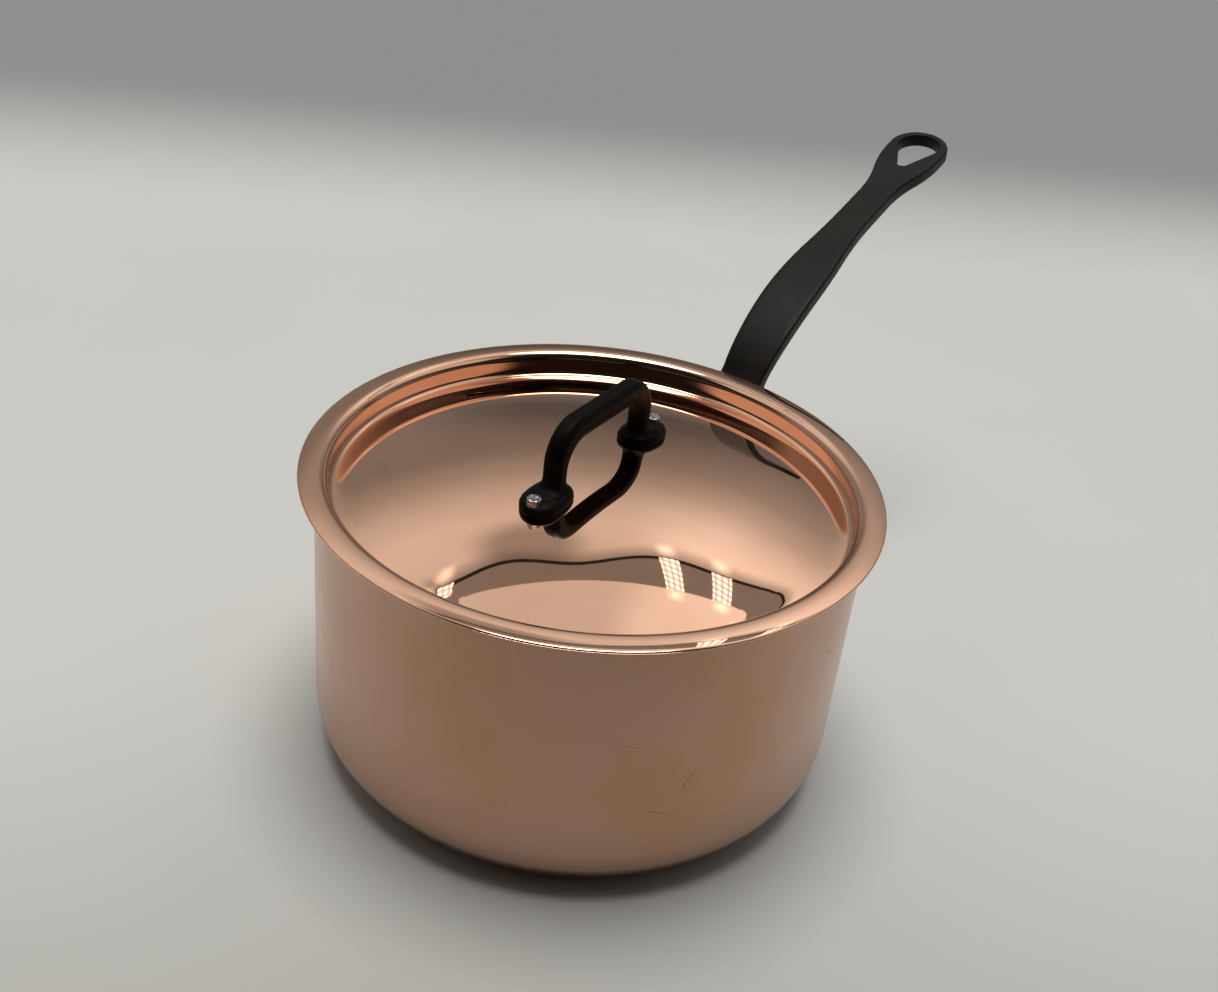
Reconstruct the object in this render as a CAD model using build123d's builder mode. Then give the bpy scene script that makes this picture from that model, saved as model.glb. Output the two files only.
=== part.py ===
from build123d import *
import os
from math import asin, cos, degrees, radians, sin, sqrt

os.makedirs("parts", exist_ok=True)

# A lidded copper saucepan: a straight-sided pan, a dished lid and two cast-iron handles.
# Millimetres and degrees. +Z is up, the long handle points along +X and the origin is the centre of the base.

# Pan, a copper shell bonded to a steel lining
pan_inner_diameter = 180.0
pan_copper = 2.1
pan_steel = 0.4
pan_height = 104.9
pan_corner_radius = 21.5
brim_edge_radius = 0.5
brim_inner_edge_radius = 0.3

# Lid, a copper sheet over a steel one, dished into the pan and domed in the middle
lid_copper = 1.2
lid_steel = 0.3
lid_clearance = 0.5
lid_overhang = 5.3
lid_dish_depth = 8.2
lid_dome_rise = 12.4
lid_brim_thickness = 1.7
lid_crest_inset = 6.1
lid_crown_radius = 30.0
lid_lip_radius = 3.3
lid_trough_radius = 2.0
lid_edge_radius = 0.6

# Loop handle, one casting on two feet
loop_length = 57.0
loop_height = 24.9
loop_width = 7.2
loop_leg_thickness = 5.9
loop_bar_thickness = 7.8
loop_outer_corner = 13.0
loop_inner_corner = 9.5
loop_edge_radius = 1.4
foot_shift = 0.7
foot_length = 20.6
foot_width = 14.2
foot_rise = 2.7
foot_round = 2.4
foot_sole_round = 0.6
foot_blend = 2.5
lid_rivet_shift = 7.2
lid_rivet_radius = 2.4
lid_rivet_proud = 1.0
lid_rivet_edge = 0.5
lid_rivet_head_radius = 5.0
lid_rivet_head_height = 1.6

# Long handle: its strap leaves the plate on the pan's wall, bends outwards in three arcs and ends in an eye
strap_thickness = 5.8
strap_edge_radius = 1.1
strap_root_drop = 5.7
strap_slopes = (77.0, 38.0, 21.0, 14.2)
strap_bend_radii = (50.0, 115.0, 416.0)
strap_straight = 66.0
strap_grip_width = 20.6
strap_waist_width = 14.4
strap_heel_width = 9.0
strap_heel_length = 75.0
strap_grip_length = 60.0
strap_waist_length = 17.0
strap_neck_length = 41.0
eye_radius = 13.0
eye_shoulder = 4.0
eye_hole_radius = 9.0
eye_hole_shift = 0.8
eye_hole_apex = 18.8
eye_hole_apex_radius = 2.2

# Plate that carries the long handle on the pan's wall
plate_thickness = 5.0
plate_width = 52.0
plate_foot_width = 22.0
plate_drop = 12.9
plate_side = 24.0
plate_height = 51.0
plate_corner = 9.0
plate_edge_radius = 1.2

# Rivets of the long handle, two high and one low
handle_rivet_radius = 3.0
handle_rivet_top_inset = 13.0
handle_rivet_side_inset = 8.5
handle_rivet_foot_inset = 11.0
handle_rivet_inner_head = 6.5
handle_rivet_outer_head = 5.2
handle_rivet_head_height = 2.0
handle_rivet_head_edge = 1.3

rivet_clearance = 0.05
overrun = 20.0

# Sizes that follow from those above
pan_inner_radius = pan_inner_diameter / 2
pan_wall = pan_copper + pan_steel
pan_outer_radius = pan_inner_radius + pan_wall
lid_sheet = lid_copper + lid_steel
lid_wall_radius = pan_inner_radius - lid_clearance - lid_sheet
lid_outer_radius = pan_outer_radius + lid_overhang
lid_dome_radius = (lid_wall_radius**2 + lid_dome_rise**2) / (2 * lid_dome_rise)
lid_dome_top = pan_height - lid_dish_depth + lid_dome_rise
lid_dome_centre = lid_dome_top - lid_dome_radius
lid_crest = pan_height + lid_brim_thickness
lid_crest_radius = lid_outer_radius - lid_crest_inset
foot_top = lid_dome_top + foot_rise
foot_centre = loop_length / 2 + foot_shift
lid_rivet_reach = foot_centre + lid_rivet_shift
plate_radius = pan_outer_radius + plate_thickness
plate_top = pan_height - plate_drop
plate_shoulder = plate_top - plate_side
plate_bottom = plate_top - plate_height
handle_rivet_high = plate_top - handle_rivet_top_inset
handle_rivet_low = plate_bottom + handle_rivet_foot_inset
handle_rivet_reach = plate_width / 2 - handle_rivet_side_inset


def save(part, name):
    part.label = name
    export_step(part, f"parts/{name}.step")


# Pan
def pan_fill(inset):
    """The pan filled to its brim, taken in from its outer face."""
    with BuildPart() as fill:
        with BuildSketch(Plane.XY.offset(inset)):
            Circle(pan_outer_radius - inset)
        extrude(amount=pan_height - inset)
        fillet(fill.edges().sort_by(Axis.Z)[0], pan_corner_radius - inset)
    return fill.part


def wall_rod(place, radius, start, end):
    """A round rod square to the pan's wall, between two distances from the pan's axis."""
    azimuth, level = place
    outward = Vector(cos(azimuth), sin(azimuth))
    with BuildPart() as rod:
        with BuildSketch(Plane(origin=outward * start + Vector(0, 0, level), z_dir=outward)):
            Circle(radius)
        extrude(amount=end - start)
    return rod.part


rivet_azimuth = asin(handle_rivet_reach / pan_outer_radius)
handle_rivet_places = [
    (-rivet_azimuth, handle_rivet_high),
    (rivet_azimuth, handle_rivet_high),
    (0.0, handle_rivet_low),
]
wall_holes = [
    wall_rod(place, handle_rivet_radius + rivet_clearance, pan_inner_radius - overrun, plate_radius + overrun)
    for place in handle_rivet_places
]

with BuildPart() as pan_shell:
    add(pan_fill(0))
    add(pan_fill(pan_copper), mode=Mode.SUBTRACT)
    brim = pan_shell.edges().filter_by(GeomType.CIRCLE).group_by(Axis.Z)[-1].sort_by(SortBy.RADIUS)
    fillet(brim[-1], brim_edge_radius)
    add(wall_holes, mode=Mode.SUBTRACT)
save(pan_shell.part, "pan_shell")

with BuildPart() as pan_lining:
    add(pan_fill(pan_copper))
    add(pan_fill(pan_wall), mode=Mode.SUBTRACT)
    brim = pan_lining.edges().filter_by(GeomType.CIRCLE).group_by(Axis.Z)[-1].sort_by(SortBy.RADIUS)
    fillet(brim[0], brim_inner_edge_radius)
    add(wall_holes, mode=Mode.SUBTRACT)
save(pan_lining.part, "pan_lining")


# Long handle
def direction(slope):
    """A step of one length along a slope."""
    return Vector(cos(radians(slope)), sin(radians(slope)))


def strap_face(inset):
    """One face of the strap from the side: a line, three arcs and the straight that holds the eye."""
    root = Vector(plate_radius, plate_top - strap_root_drop) + direction(strap_slopes[0] - 90) * inset
    inside = (root.X - pan_outer_radius - plate_thickness / 2) / cos(radians(strap_slopes[0]))
    start = root - direction(strap_slopes[0]) * inside
    line = Line(start, root)
    for radius, slope, next_slope in zip(strap_bend_radii, strap_slopes, strap_slopes[1:]):
        line = JernArc(line @ 1, line % 1, radius - inset, next_slope - slope)
    eye = line @ 1 + direction(strap_slopes[-1]) * strap_straight
    end = eye + direction(strap_slopes[-1]) * 2 * eye_radius
    Line(line @ 1, end)
    return start, eye, end


def ease(start, end):
    """Two equal arcs that lead from one half width of the strap to another."""
    middle = (start + end) / 2
    TangentArc(start, middle, tangent=(-1, 0))
    TangentArc(end, middle, tangent=(1, 0))


with BuildPart() as strap:
    with BuildSketch(Plane.XZ.offset(-strap_grip_width)):
        with BuildLine():
            upper_start, eye, upper_end = strap_face(0)
            lower_start, _, lower_end = strap_face(strap_thickness)
            Line(upper_start, lower_start)
            Line(upper_end, lower_end)
        make_face()
    extrude(amount=2 * strap_grip_width)

    tilt = direction(strap_slopes[-1])
    eye_plane = Plane(origin=(eye.X, 0, eye.Y), x_dir=(tilt.X, 0, tilt.Y), z_dir=(-tilt.Y, 0, tilt.X))
    shoulder = Vector(-eye_shoulder, eye_radius)
    neck = Vector(shoulder.X - strap_neck_length, strap_waist_width / 2)
    waist = Vector(neck.X - strap_waist_length, strap_waist_width / 2)
    grip = Vector(waist.X - strap_grip_length, strap_grip_width / 2)
    heel = Vector(grip.X - strap_heel_length, strap_heel_width / 2)
    with BuildSketch(eye_plane.offset(-eye.Y)):
        with BuildLine():
            CenterArc((0, 0), eye_radius, 0, 90)
            Line((0, eye_radius), shoulder)
            ease(shoulder, neck)
            Line(neck, waist)
            ease(waist, grip)
            TangentArc(grip, heel, tangent=(-1, 0))
            Line(heel, (heel.X, 0))
            mirror(about=Plane.XZ)
        make_face()
    extrude(amount=2 * eye.Y, mode=Mode.INTERSECT)
    broad = strap.faces().filter_by(lambda face: abs(face.normal_at().Z) > 0.1)
    sides = broad.edges().filter_by(lambda edge: abs(edge.center().Y) > strap_edge_radius)
    tips = broad.edges().filter_by(lambda edge: edge.center().X > eye.X)
    fillet(set(sides + tips), strap_edge_radius)
    with BuildSketch(eye_plane.offset(-overrun)):
        with Locations((eye_hole_shift, 0)):
            Circle(eye_hole_radius)
        with Locations((eye_hole_apex_radius - eye_hole_apex, 0)):
            Circle(eye_hole_apex_radius)
        make_hull()
    extrude(amount=2 * overrun, mode=Mode.SUBTRACT)

with BuildPart() as plate:
    with BuildSketch(Plane.YZ) as shield:
        with BuildLine():
            Polyline(
                (plate_width / 2, plate_top),
                (plate_width / 2, plate_shoulder),
                (plate_foot_width / 2, plate_bottom),
                (-plate_foot_width / 2, plate_bottom),
                (-plate_width / 2, plate_shoulder),
                (-plate_width / 2, plate_top),
                close=True,
            )
        make_face()
        fillet(shield.vertices(), plate_corner)
    extrude(amount=plate_radius + overrun)
    with BuildSketch():
        Circle(plate_radius)
        Circle(pan_outer_radius, mode=Mode.SUBTRACT)
    extrude(amount=pan_height, mode=Mode.INTERSECT)
    front = plate.faces().filter_by(GeomType.CYLINDER).sort_by(Axis.X)[-1]
    fillet(front.edges(), plate_edge_radius)

with BuildPart() as long_handle:
    add(plate.part)
    add(strap.part)
    add(wall_holes, mode=Mode.SUBTRACT)
save(long_handle.part, "long_handle")


def handle_rivet(place):
    """A rivet through the wall and the plate, with a head inside the pan and one on the plate."""
    outward = Axis((0, 0, 0), (cos(place[0]), sin(place[0]), 0))
    inner_end = pan_inner_radius - handle_rivet_head_height
    outer_end = plate_radius + handle_rivet_head_height
    with BuildPart() as inner_head:
        add(wall_rod(place, handle_rivet_inner_head, inner_end, pan_outer_radius))
        Cylinder(pan_inner_radius, 2 * pan_height, mode=Mode.INTERSECT)
        fillet(inner_head.edges().sort_by(outward)[0], handle_rivet_head_edge)
    with BuildPart() as outer_head:
        add(wall_rod(place, handle_rivet_outer_head, pan_outer_radius, outer_end))
        Cylinder(plate_radius, 2 * pan_height, mode=Mode.SUBTRACT)
        fillet(outer_head.edges().sort_by(outward)[-1], handle_rivet_head_edge)
    with BuildPart() as rivet:
        head_middle = handle_rivet_head_height / 2
        add(wall_rod(place, handle_rivet_radius, inner_end + head_middle, outer_end - head_middle))
        add(inner_head.part)
        add(outer_head.part)
    return rivet.part


for number, place in enumerate(handle_rivet_places, 1):
    save(handle_rivet(place), f"handle_rivet_{number}")


# Lid
def dome_arc(depth):
    """The lid's dome from its top to its foot, at a depth under the sheet's upper face."""
    reach = degrees(asin((lid_wall_radius + depth) / (lid_dome_radius - depth)))
    return CenterArc((0, lid_dome_centre), lid_dome_radius - depth, 90, -reach)


def crown_height(radius):
    """The height of the brim's rounded top at a distance from the lid's axis."""
    return lid_crest - lid_crown_radius + sqrt(lid_crown_radius**2 - (radius - lid_crest_radius) ** 2)


def round_corner(section, place, radius):
    fillet(section.vertices().sort_by_distance(place)[0], radius)


copper_seat = pan_height + lid_steel
steel_radius = lid_outer_radius - lid_edge_radius
under_corner = lid_clearance + brim_inner_edge_radius


def lid_rod(x, radius, start, end):
    """An upright rod through the lid at one of its rivets, between two heights."""
    with BuildPart() as rod:
        with BuildSketch(Plane.XY.offset(start)):
            with Locations((x, 0)):
                Circle(radius)
        extrude(amount=end - start)
    return rod.part


lid_holes = [
    lid_rod(x, lid_rivet_radius + rivet_clearance, pan_height - overrun, pan_height + overrun)
    for x in (-lid_rivet_reach, lid_rivet_reach)
]

with BuildPart() as lid_shell:
    with BuildSketch(Plane.XZ) as section:
        with BuildLine():
            upper = dome_arc(0)
            lower = dome_arc(lid_copper)
            inner_lip = (lid_wall_radius, crown_height(lid_wall_radius))
            outer_lip = (lid_outer_radius, crown_height(lid_outer_radius))
            under_lip = (lid_wall_radius + lid_copper, copper_seat)
            Line(upper @ 0, lower @ 0)
            Line(upper @ 1, inner_lip)
            ThreePointArc(inner_lip, (lid_crest_radius, lid_crest), outer_lip)
            Polyline(outer_lip, (lid_outer_radius, copper_seat), under_lip, lower @ 1)
        make_face()
        round_corner(section, upper @ 1, lid_trough_radius)
        round_corner(section, lower @ 1, lid_trough_radius + lid_copper)
        round_corner(section, inner_lip, lid_lip_radius)
        round_corner(section, under_lip, under_corner + lid_steel)
        round_corner(section, outer_lip, lid_edge_radius)
    revolve(axis=Axis.Z)
    add(lid_holes, mode=Mode.SUBTRACT)
save(lid_shell.part, "lid_shell")

with BuildPart() as lid_lining:
    with BuildSketch(Plane.XZ) as section:
        with BuildLine():
            upper = dome_arc(lid_copper)
            lower = dome_arc(lid_sheet)
            upper_lip = (lid_wall_radius + lid_copper, copper_seat)
            under_lip = (lid_wall_radius + lid_sheet, pan_height)
            Line(upper @ 0, lower @ 0)
            Polyline(upper @ 1, upper_lip, (steel_radius, copper_seat))
            Polyline((steel_radius, copper_seat), (steel_radius, pan_height), under_lip, lower @ 1)
        make_face()
        round_corner(section, upper @ 1, lid_trough_radius + lid_copper)
        round_corner(section, lower @ 1, lid_trough_radius + lid_sheet)
        round_corner(section, upper_lip, under_corner + lid_steel)
        round_corner(section, under_lip, under_corner)
    revolve(axis=Axis.Z)
    add(lid_holes, mode=Mode.SUBTRACT)
save(lid_lining.part, "lid_lining")

# Loop handle
loop_top = lid_dome_top + loop_height

with BuildPart() as lid_foot:
    with BuildSketch(Plane.XY.offset(pan_height - lid_sheet)):
        SlotOverall(foot_length, foot_width)
    extrude(amount=foot_top - pan_height + lid_sheet)
    fillet(lid_foot.edges().group_by(Axis.Z)[-1], foot_round)

with BuildPart() as loop:
    with BuildSketch(Plane.XZ.offset(-loop_width / 2)):
        with BuildSketch(mode=Mode.PRIVATE) as bow:
            with Locations((0, loop_top)):
                Rectangle(loop_length, loop_top - pan_height, align=(Align.CENTER, Align.MAX))
            fillet(bow.vertices().group_by(Axis.Y)[-1], loop_outer_corner)
        with BuildSketch(mode=Mode.PRIVATE) as gap:
            with Locations((0, loop_top - loop_bar_thickness)):
                Rectangle(loop_length - 2 * loop_leg_thickness, loop_top, align=(Align.CENTER, Align.MAX))
            fillet(gap.vertices().group_by(Axis.Y)[-1], loop_inner_corner)
        add(bow.sketch)
        add(gap.sketch, mode=Mode.SUBTRACT)
    extrude(amount=loop_width)
    long_edges = loop.faces().filter_by(Axis.Y).edges()
    fillet(long_edges.filter_by(lambda edge: edge.center().Z > pan_height), loop_edge_radius)


def is_leg_root(edge):
    """Whether an edge lies where a leg of the loop runs into its foot."""
    middle = edge.center()
    leg_place = (loop_length - loop_leg_thickness) / 2
    beside = abs(abs(middle.X) - leg_place) <= loop_leg_thickness / 2 + loop_edge_radius / 2
    low = foot_top - foot_round < middle.Z < foot_top + foot_blend
    return beside and low and abs(middle.Y) <= loop_width / 2


with BuildPart() as lid_handle:
    add(loop.part)
    for x in (-foot_centre, foot_centre):
        with Locations((x, 0)):
            add(lid_foot.part)
    roots = lid_handle.edges().filter_by(is_leg_root)
    fillet(roots, foot_blend)
    with Locations((0, 0, lid_dome_centre)):
        Sphere(lid_dome_radius, mode=Mode.SUBTRACT)
    soles = lid_handle.faces().filter_by(GeomType.SPHERE)
    fillet(soles.edges(), foot_sole_round)
    add(lid_holes, mode=Mode.SUBTRACT)
save(lid_handle.part, "lid_handle")


def lid_rivet(x):
    """A rivet through a foot and the lid, with a head under the lid."""
    under_face = lid_dome_centre + sqrt((lid_dome_radius - lid_sheet) ** 2 - lid_rivet_reach**2)
    with BuildPart() as head:
        add(lid_rod(x, lid_rivet_head_radius, under_face - lid_rivet_head_height, lid_dome_top))
        with Locations((0, 0, lid_dome_centre)):
            Sphere(lid_dome_radius - lid_sheet, mode=Mode.INTERSECT)
        fillet(head.edges().sort_by(Axis.Z)[0], lid_rivet_edge)
    with BuildPart() as rivet:
        add(lid_rod(x, lid_rivet_radius, under_face - lid_rivet_head_height / 2, foot_top + lid_rivet_proud))
        fillet(rivet.edges().sort_by(Axis.Z)[-1], lid_rivet_edge)
        add(head.part)
    return rivet.part


for number, x in enumerate((-lid_rivet_reach, lid_rivet_reach), 1):
    save(lid_rivet(x), f"lid_rivet_{number}")
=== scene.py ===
import bmesh
import bpy
import math
import numpy as np
from mathutils import Matrix, Vector


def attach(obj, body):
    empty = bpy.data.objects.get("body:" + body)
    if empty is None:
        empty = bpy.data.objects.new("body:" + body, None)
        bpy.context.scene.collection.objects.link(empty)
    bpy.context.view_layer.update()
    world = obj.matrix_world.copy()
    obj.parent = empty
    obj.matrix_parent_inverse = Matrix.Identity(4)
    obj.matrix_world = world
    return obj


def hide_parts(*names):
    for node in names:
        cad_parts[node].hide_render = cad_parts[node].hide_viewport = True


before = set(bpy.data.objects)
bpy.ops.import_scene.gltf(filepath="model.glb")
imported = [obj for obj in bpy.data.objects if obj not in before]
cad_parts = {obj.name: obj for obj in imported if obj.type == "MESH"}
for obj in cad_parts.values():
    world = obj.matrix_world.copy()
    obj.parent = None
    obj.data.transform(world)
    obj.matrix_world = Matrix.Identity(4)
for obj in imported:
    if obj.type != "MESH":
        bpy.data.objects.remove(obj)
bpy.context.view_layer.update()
print("frame loaded:", ", ".join(sorted(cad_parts)))

mm = 0.001  # shapes are worked out in millimetres and stored in metres


# ---- camera: the photograph's viewing angle
camera = {
    "lens": 42.32, "sensor": 36.0, "place": (-358.4, -206.9, 348.4), "heading": 29.25, "dip": 31.26, "roll": 6.55,
    "nearest": 0.01, "furthest": 50,
}


def placeCamera(size):
    # level heading and its right-hand side, dipped towards the object and then rolled about the line of sight
    heading, dip, roll = (math.radians(size[key]) for key in ("heading", "dip", "roll"))
    level = Vector((math.cos(heading), math.sin(heading), 0))
    side = Vector((math.sin(heading), -math.cos(heading), 0))
    ahead = level * math.cos(dip) - Vector((0, 0, 1)) * math.sin(dip)
    above = level * math.sin(dip) + Vector((0, 0, 1)) * math.cos(dip)
    right = side * math.cos(roll) + above * math.sin(roll)
    up = above * math.cos(roll) - side * math.sin(roll)
    turn = Matrix((right, up, -ahead)).transposed().to_4x4()
    data = bpy.data.cameras.new("camera")
    data.lens, data.sensor_width = size["lens"], size["sensor"]
    data.clip_start, data.clip_end = size["nearest"], size["furthest"]
    viewer = bpy.data.objects.new("camera", data)
    viewer.matrix_world = Matrix.Translation(Vector(size["place"]) * mm) @ turn
    bpy.context.scene.collection.objects.link(viewer)
    bpy.context.scene.camera = viewer
    return level, side


level, side = placeCamera(camera)
print("camera placed")


# ---- node helpers
def setSocket(tree, socket, value):
    # a value is either another node's output or a constant
    if isinstance(value, bpy.types.NodeSocket):
        tree.links.new(value, socket)
    else:
        socket.default_value = value


def addNode(tree, kind, values=None, **settings):
    node = tree.nodes.new("ShaderNode" + kind)
    for key, value in settings.items():
        setattr(node, key, value)
    for key, value in (values or {}).items():
        setSocket(tree, node.inputs[key], value)
    return node


def newMaterial(name):
    # an empty material, its nodes and the place on the object
    material = bpy.data.materials.new(name)
    material.use_nodes = True
    tree = material.node_tree
    tree.nodes.clear()
    return material, tree, addNode(tree, "TexCoord").outputs["Object"]


def mathNode(tree, operation, a, b=0.0, c=0.0):
    return addNode(tree, "Math", {0: a, 1: b, 2: c}, operation=operation).outputs[0]


def dotNode(tree, vector, direction):
    return addNode(tree, "VectorMath", {0: vector, 1: tuple(direction)}, operation="DOT_PRODUCT").outputs["Value"]


def reachNode(tree, place):
    # distance from the Z axis
    flat = addNode(tree, "VectorMath", {0: place, 1: (1, 1, 0)}, operation="MULTIPLY").outputs[0]
    return addNode(tree, "VectorMath", {0: flat}, operation="LENGTH").outputs["Value"]


def noiseNode(tree, vector, scale, detail=2.0, roughness=0.5):
    values = {"Vector": vector, "Scale": scale, "Detail": detail, "Roughness": roughness}
    return addNode(tree, "TexNoise", values).outputs["Fac"]


def scaledPlace(tree, vector, scale, turn=(0, 0, 0)):
    return addNode(tree, "Mapping", {"Vector": vector, "Scale": scale, "Rotation": turn}).outputs[0]


def rangeNode(tree, value, low, high, start, end):
    # a smooth step between two limits
    values = {"Value": value, "From Min": low, "From Max": high, "To Min": start, "To Max": end}
    return addNode(tree, "MapRange", values, interpolation_type="SMOOTHSTEP").outputs["Result"]


def mixColours(tree, share, first, second, blend="MIX"):
    # a Mix node's number and colour sockets share their names, so they are picked by identifier
    node = addNode(tree, "Mix", data_type="RGBA", blend_type=blend)
    sockets = {socket.identifier: socket for socket in node.inputs}
    for key, value in (("Factor_Float", share), ("A_Color", first), ("B_Color", second)):
        setSocket(tree, sockets[key], value)
    return next(socket for socket in node.outputs if socket.identifier == "Result_Color")


def grey(strength):
    return (strength, strength, strength, 1)


def finishSurface(tree, colour, rough, bump=None, shine=None):
    # principled surface, a metal unless its shine is given, with its height pattern as a bump
    kind = {"Metallic": 1.0} if shine is None else {"Specular IOR Level": shine}
    shader = addNode(tree, "BsdfPrincipled", {"Base Color": colour, "Roughness": rough, **kind})
    if bump:
        height, strength, distance = bump
        node = addNode(tree, "Bump", {"Height": height, "Strength": strength, "Distance": distance})
        tree.links.new(node.outputs[0], shader.inputs["Normal"])
    output = tree.nodes.new("ShaderNodeOutputMaterial")
    tree.links.new(shader.outputs[0], output.inputs["Surface"])


# ---- finishes
copperLook = {
    # the body's pair is the lid's copper darkened by about half, as painted shade for the dim floor that the wall
    # reflects; within each pair the two tones mix at random
    "body": ((0.52, 0.312, 0.238, 1), (0.50, 0.292, 0.178, 1)),
    "lid": ((0.93, 0.56, 0.385, 1), (0.88, 0.515, 0.345, 1)),
    "tintScale": 16.0, "tintLimits": (0.38, 0.62), "hazeScale": 36.8, "hazeFlat": 0.6, "smooth": 0.72, "hazy": 0.5,
    "ringScale": 900.0, "ringDepth": 0.4, "across": 8, "bumpDepth": 0.00002,
    "scratchScale": 30.0, "scratchStretch": (0.35, 1, 1.7), "scratchTurn": (0.5, 0.35, 0.7), "scratchHalf": 0.0035,
    "scratchPlaces": 27.0, "scratchLimits": (0.66, 0.72),
    "speckScale": 60.0, "speckShare": 0.93, "speckLimits": (0.02, 0.045),
    "mark": (0.16, 0.09, 0.07, 1), "markShare": 0.55, "markRough": 0.3, "markDepth": -0.6,
}


def copperMarks(tree, place):
    # thin scratches: where a stretched noise passes its middle value, in a few places only
    look = copperLook
    stretched = scaledPlace(tree, place, look["scratchStretch"], look["scratchTurn"])
    stretchedNoise = noiseNode(tree, stretched, look["scratchScale"], 1, 0.4)
    crossing = mathNode(tree, "ABSOLUTE", mathNode(tree, "SUBTRACT", stretchedNoise, 0.5))
    where = rangeNode(tree, noiseNode(tree, place, look["scratchPlaces"], 1, 0.5), *look["scratchLimits"], 0, 1)
    scratch = mathNode(tree, "MULTIPLY", rangeNode(tree, crossing, 0.0, look["scratchHalf"], 1, 0), where)
    # specks: the middles of a few cells
    cells = addNode(tree, "TexVoronoi", {"Vector": place, "Scale": look["speckScale"], "Randomness": 1.0})
    draw = addNode(tree, "SeparateColor", {0: cells.outputs["Color"]}).outputs[0]
    middle = rangeNode(tree, cells.outputs["Distance"], *look["speckLimits"], 1, 0)
    speck = mathNode(tree, "MULTIPLY", middle, mathNode(tree, "GREATER_THAN", draw, look["speckShare"]))
    return mathNode(tree, "MAXIMUM", scratch, speck)


def copperFinish(name, part, roughness, ripple):
    look = copperLook
    material, tree, place = newMaterial(name)
    tint = noiseNode(tree, place, look["tintScale"], 3, 0.6)
    colour = mixColours(tree, rangeNode(tree, tint, *look["tintLimits"], 0, 1), *look[part])
    haze = noiseNode(tree, scaledPlace(tree, place, (1, 1, look["hazeFlat"])), look["hazeScale"], 4, 0.65)
    if part == "body":  # polishing lines run round the wall
        lines = scaledPlace(tree, place, (look["across"], look["across"], look["ringScale"]))
    else:  # and in rings on the lid
        rings = addNode(tree, "CombineXYZ", {"Z": reachNode(tree, place)}).outputs[0]
        lines = scaledPlace(tree, rings, (1, 1, look["ringScale"]))
    polish = noiseNode(tree, lines, 1.0, 3, 0.6)
    marks = copperMarks(tree, place)
    colour = mixColours(tree, mathNode(tree, "MULTIPLY", marks, look["markShare"]), colour, look["mark"])
    rough = mathNode(tree, "MULTIPLY_ADD", haze, look["hazy"] * roughness, look["smooth"] * roughness)
    rough = mathNode(tree, "MULTIPLY_ADD", marks, look["markRough"], rough)
    dents = mathNode(tree, "MULTIPLY", marks, look["markDepth"])
    height = mathNode(tree, "MULTIPLY_ADD", polish, look["ringDepth"], dents)
    finishSurface(tree, colour, rough, (height, ripple, look["bumpDepth"]))
    return material


steelLook = {
    "pale": (0.68, 0.66, 0.63, 1), "dark": (0.56, 0.545, 0.52, 1), "rough": 0.24, "cloudRough": 0.16,
    "cloudScale": 22.0, "cloudShare": 0.4, "lineScale": 700.0, "lineShare": 0.6, "bump": 0.35, "bumpDepth": 0.00004,
}


def steelFinish(name):
    # brushed in rings, up the wall as well as across the floor
    look = steelLook
    material, tree, place = newMaterial(name)
    up = addNode(tree, "SeparateXYZ", {0: place}).outputs["Z"]
    rings = addNode(tree, "CombineXYZ", {"X": mathNode(tree, "ADD", reachNode(tree, place), up)}).outputs[0]
    lines = noiseNode(tree, scaledPlace(tree, rings, (look["lineScale"], 1, 1)), 1.0, 4, 0.7)
    cloud = noiseNode(tree, place, look["cloudScale"], 3, 0.6)
    clouded = mathNode(tree, "MULTIPLY", cloud, look["cloudShare"])
    share = mathNode(tree, "MULTIPLY_ADD", lines, look["lineShare"], clouded)
    colour = mixColours(tree, share, look["pale"], look["dark"])
    rough = mathNode(tree, "MULTIPLY_ADD", cloud, look["cloudRough"], look["rough"])
    finishSurface(tree, colour, rough, (lines, look["bump"], look["bumpDepth"]))
    return material


ironLook = {
    "black": (0.0012, 0.0011, 0.001, 1), "brown": (0.0125, 0.009, 0.006, 1), "tintScale": 40.0, "tintSpread": 0.35,
    "rough": 0.34, "patchRough": 0.22, "patchScale": 130.0, "grain": 700.0, "grainShare": 0.3, "swell": 95.0,
    "bump": 0.5, "bumpDepth": 0.00025,
}


def ironFinish(name, share, shine):
    # seasoned cast iron: fine grain over soft swells, browner where the coat is thin
    look = ironLook
    material, tree, place = newMaterial(name)
    cloud = noiseNode(tree, place, look["tintScale"], 4, 0.65)
    least, most = max(0.0, share - look["tintSpread"]), min(1.0, share + look["tintSpread"])
    colour = mixColours(tree, rangeNode(tree, cloud, 0.3, 0.7, least, most), look["black"], look["brown"])
    grain = noiseNode(tree, place, look["grain"], 3, 0.6)
    swell = noiseNode(tree, place, look["swell"], 2, 0.5)
    height = mathNode(tree, "MULTIPLY_ADD", grain, look["grainShare"], swell)
    patches = noiseNode(tree, place, look["patchScale"], 4, 0.7)
    rough = mathNode(tree, "MULTIPLY_ADD", patches, look["patchRough"], look["rough"])
    finishSurface(tree, colour, rough, (height, look["bump"], look["bumpDepth"]), shine)
    return material


rivetLook = {
    "bright": (0.62, 0.60, 0.57, 1), "dark": (0.09, 0.085, 0.08, 1), "grain": 1400.0, "pits": (0.42, 0.62),
    "rough": 0.5, "smoother": -0.2, "bump": 0.6, "bumpDepth": 0.0002,
}


def rivetFinish(name):
    # hammered steel end, pitted
    look = rivetLook
    material, tree, place = newMaterial(name)
    pits = noiseNode(tree, place, look["grain"], 4, 0.7)
    colour = mixColours(tree, rangeNode(tree, pits, *look["pits"], 0, 1), look["dark"], look["bright"])
    rough = mathNode(tree, "MULTIPLY_ADD", pits, look["smoother"], look["rough"])
    finishSurface(tree, colour, rough, (pits, look["bump"], look["bumpDepth"]))
    return material


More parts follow.
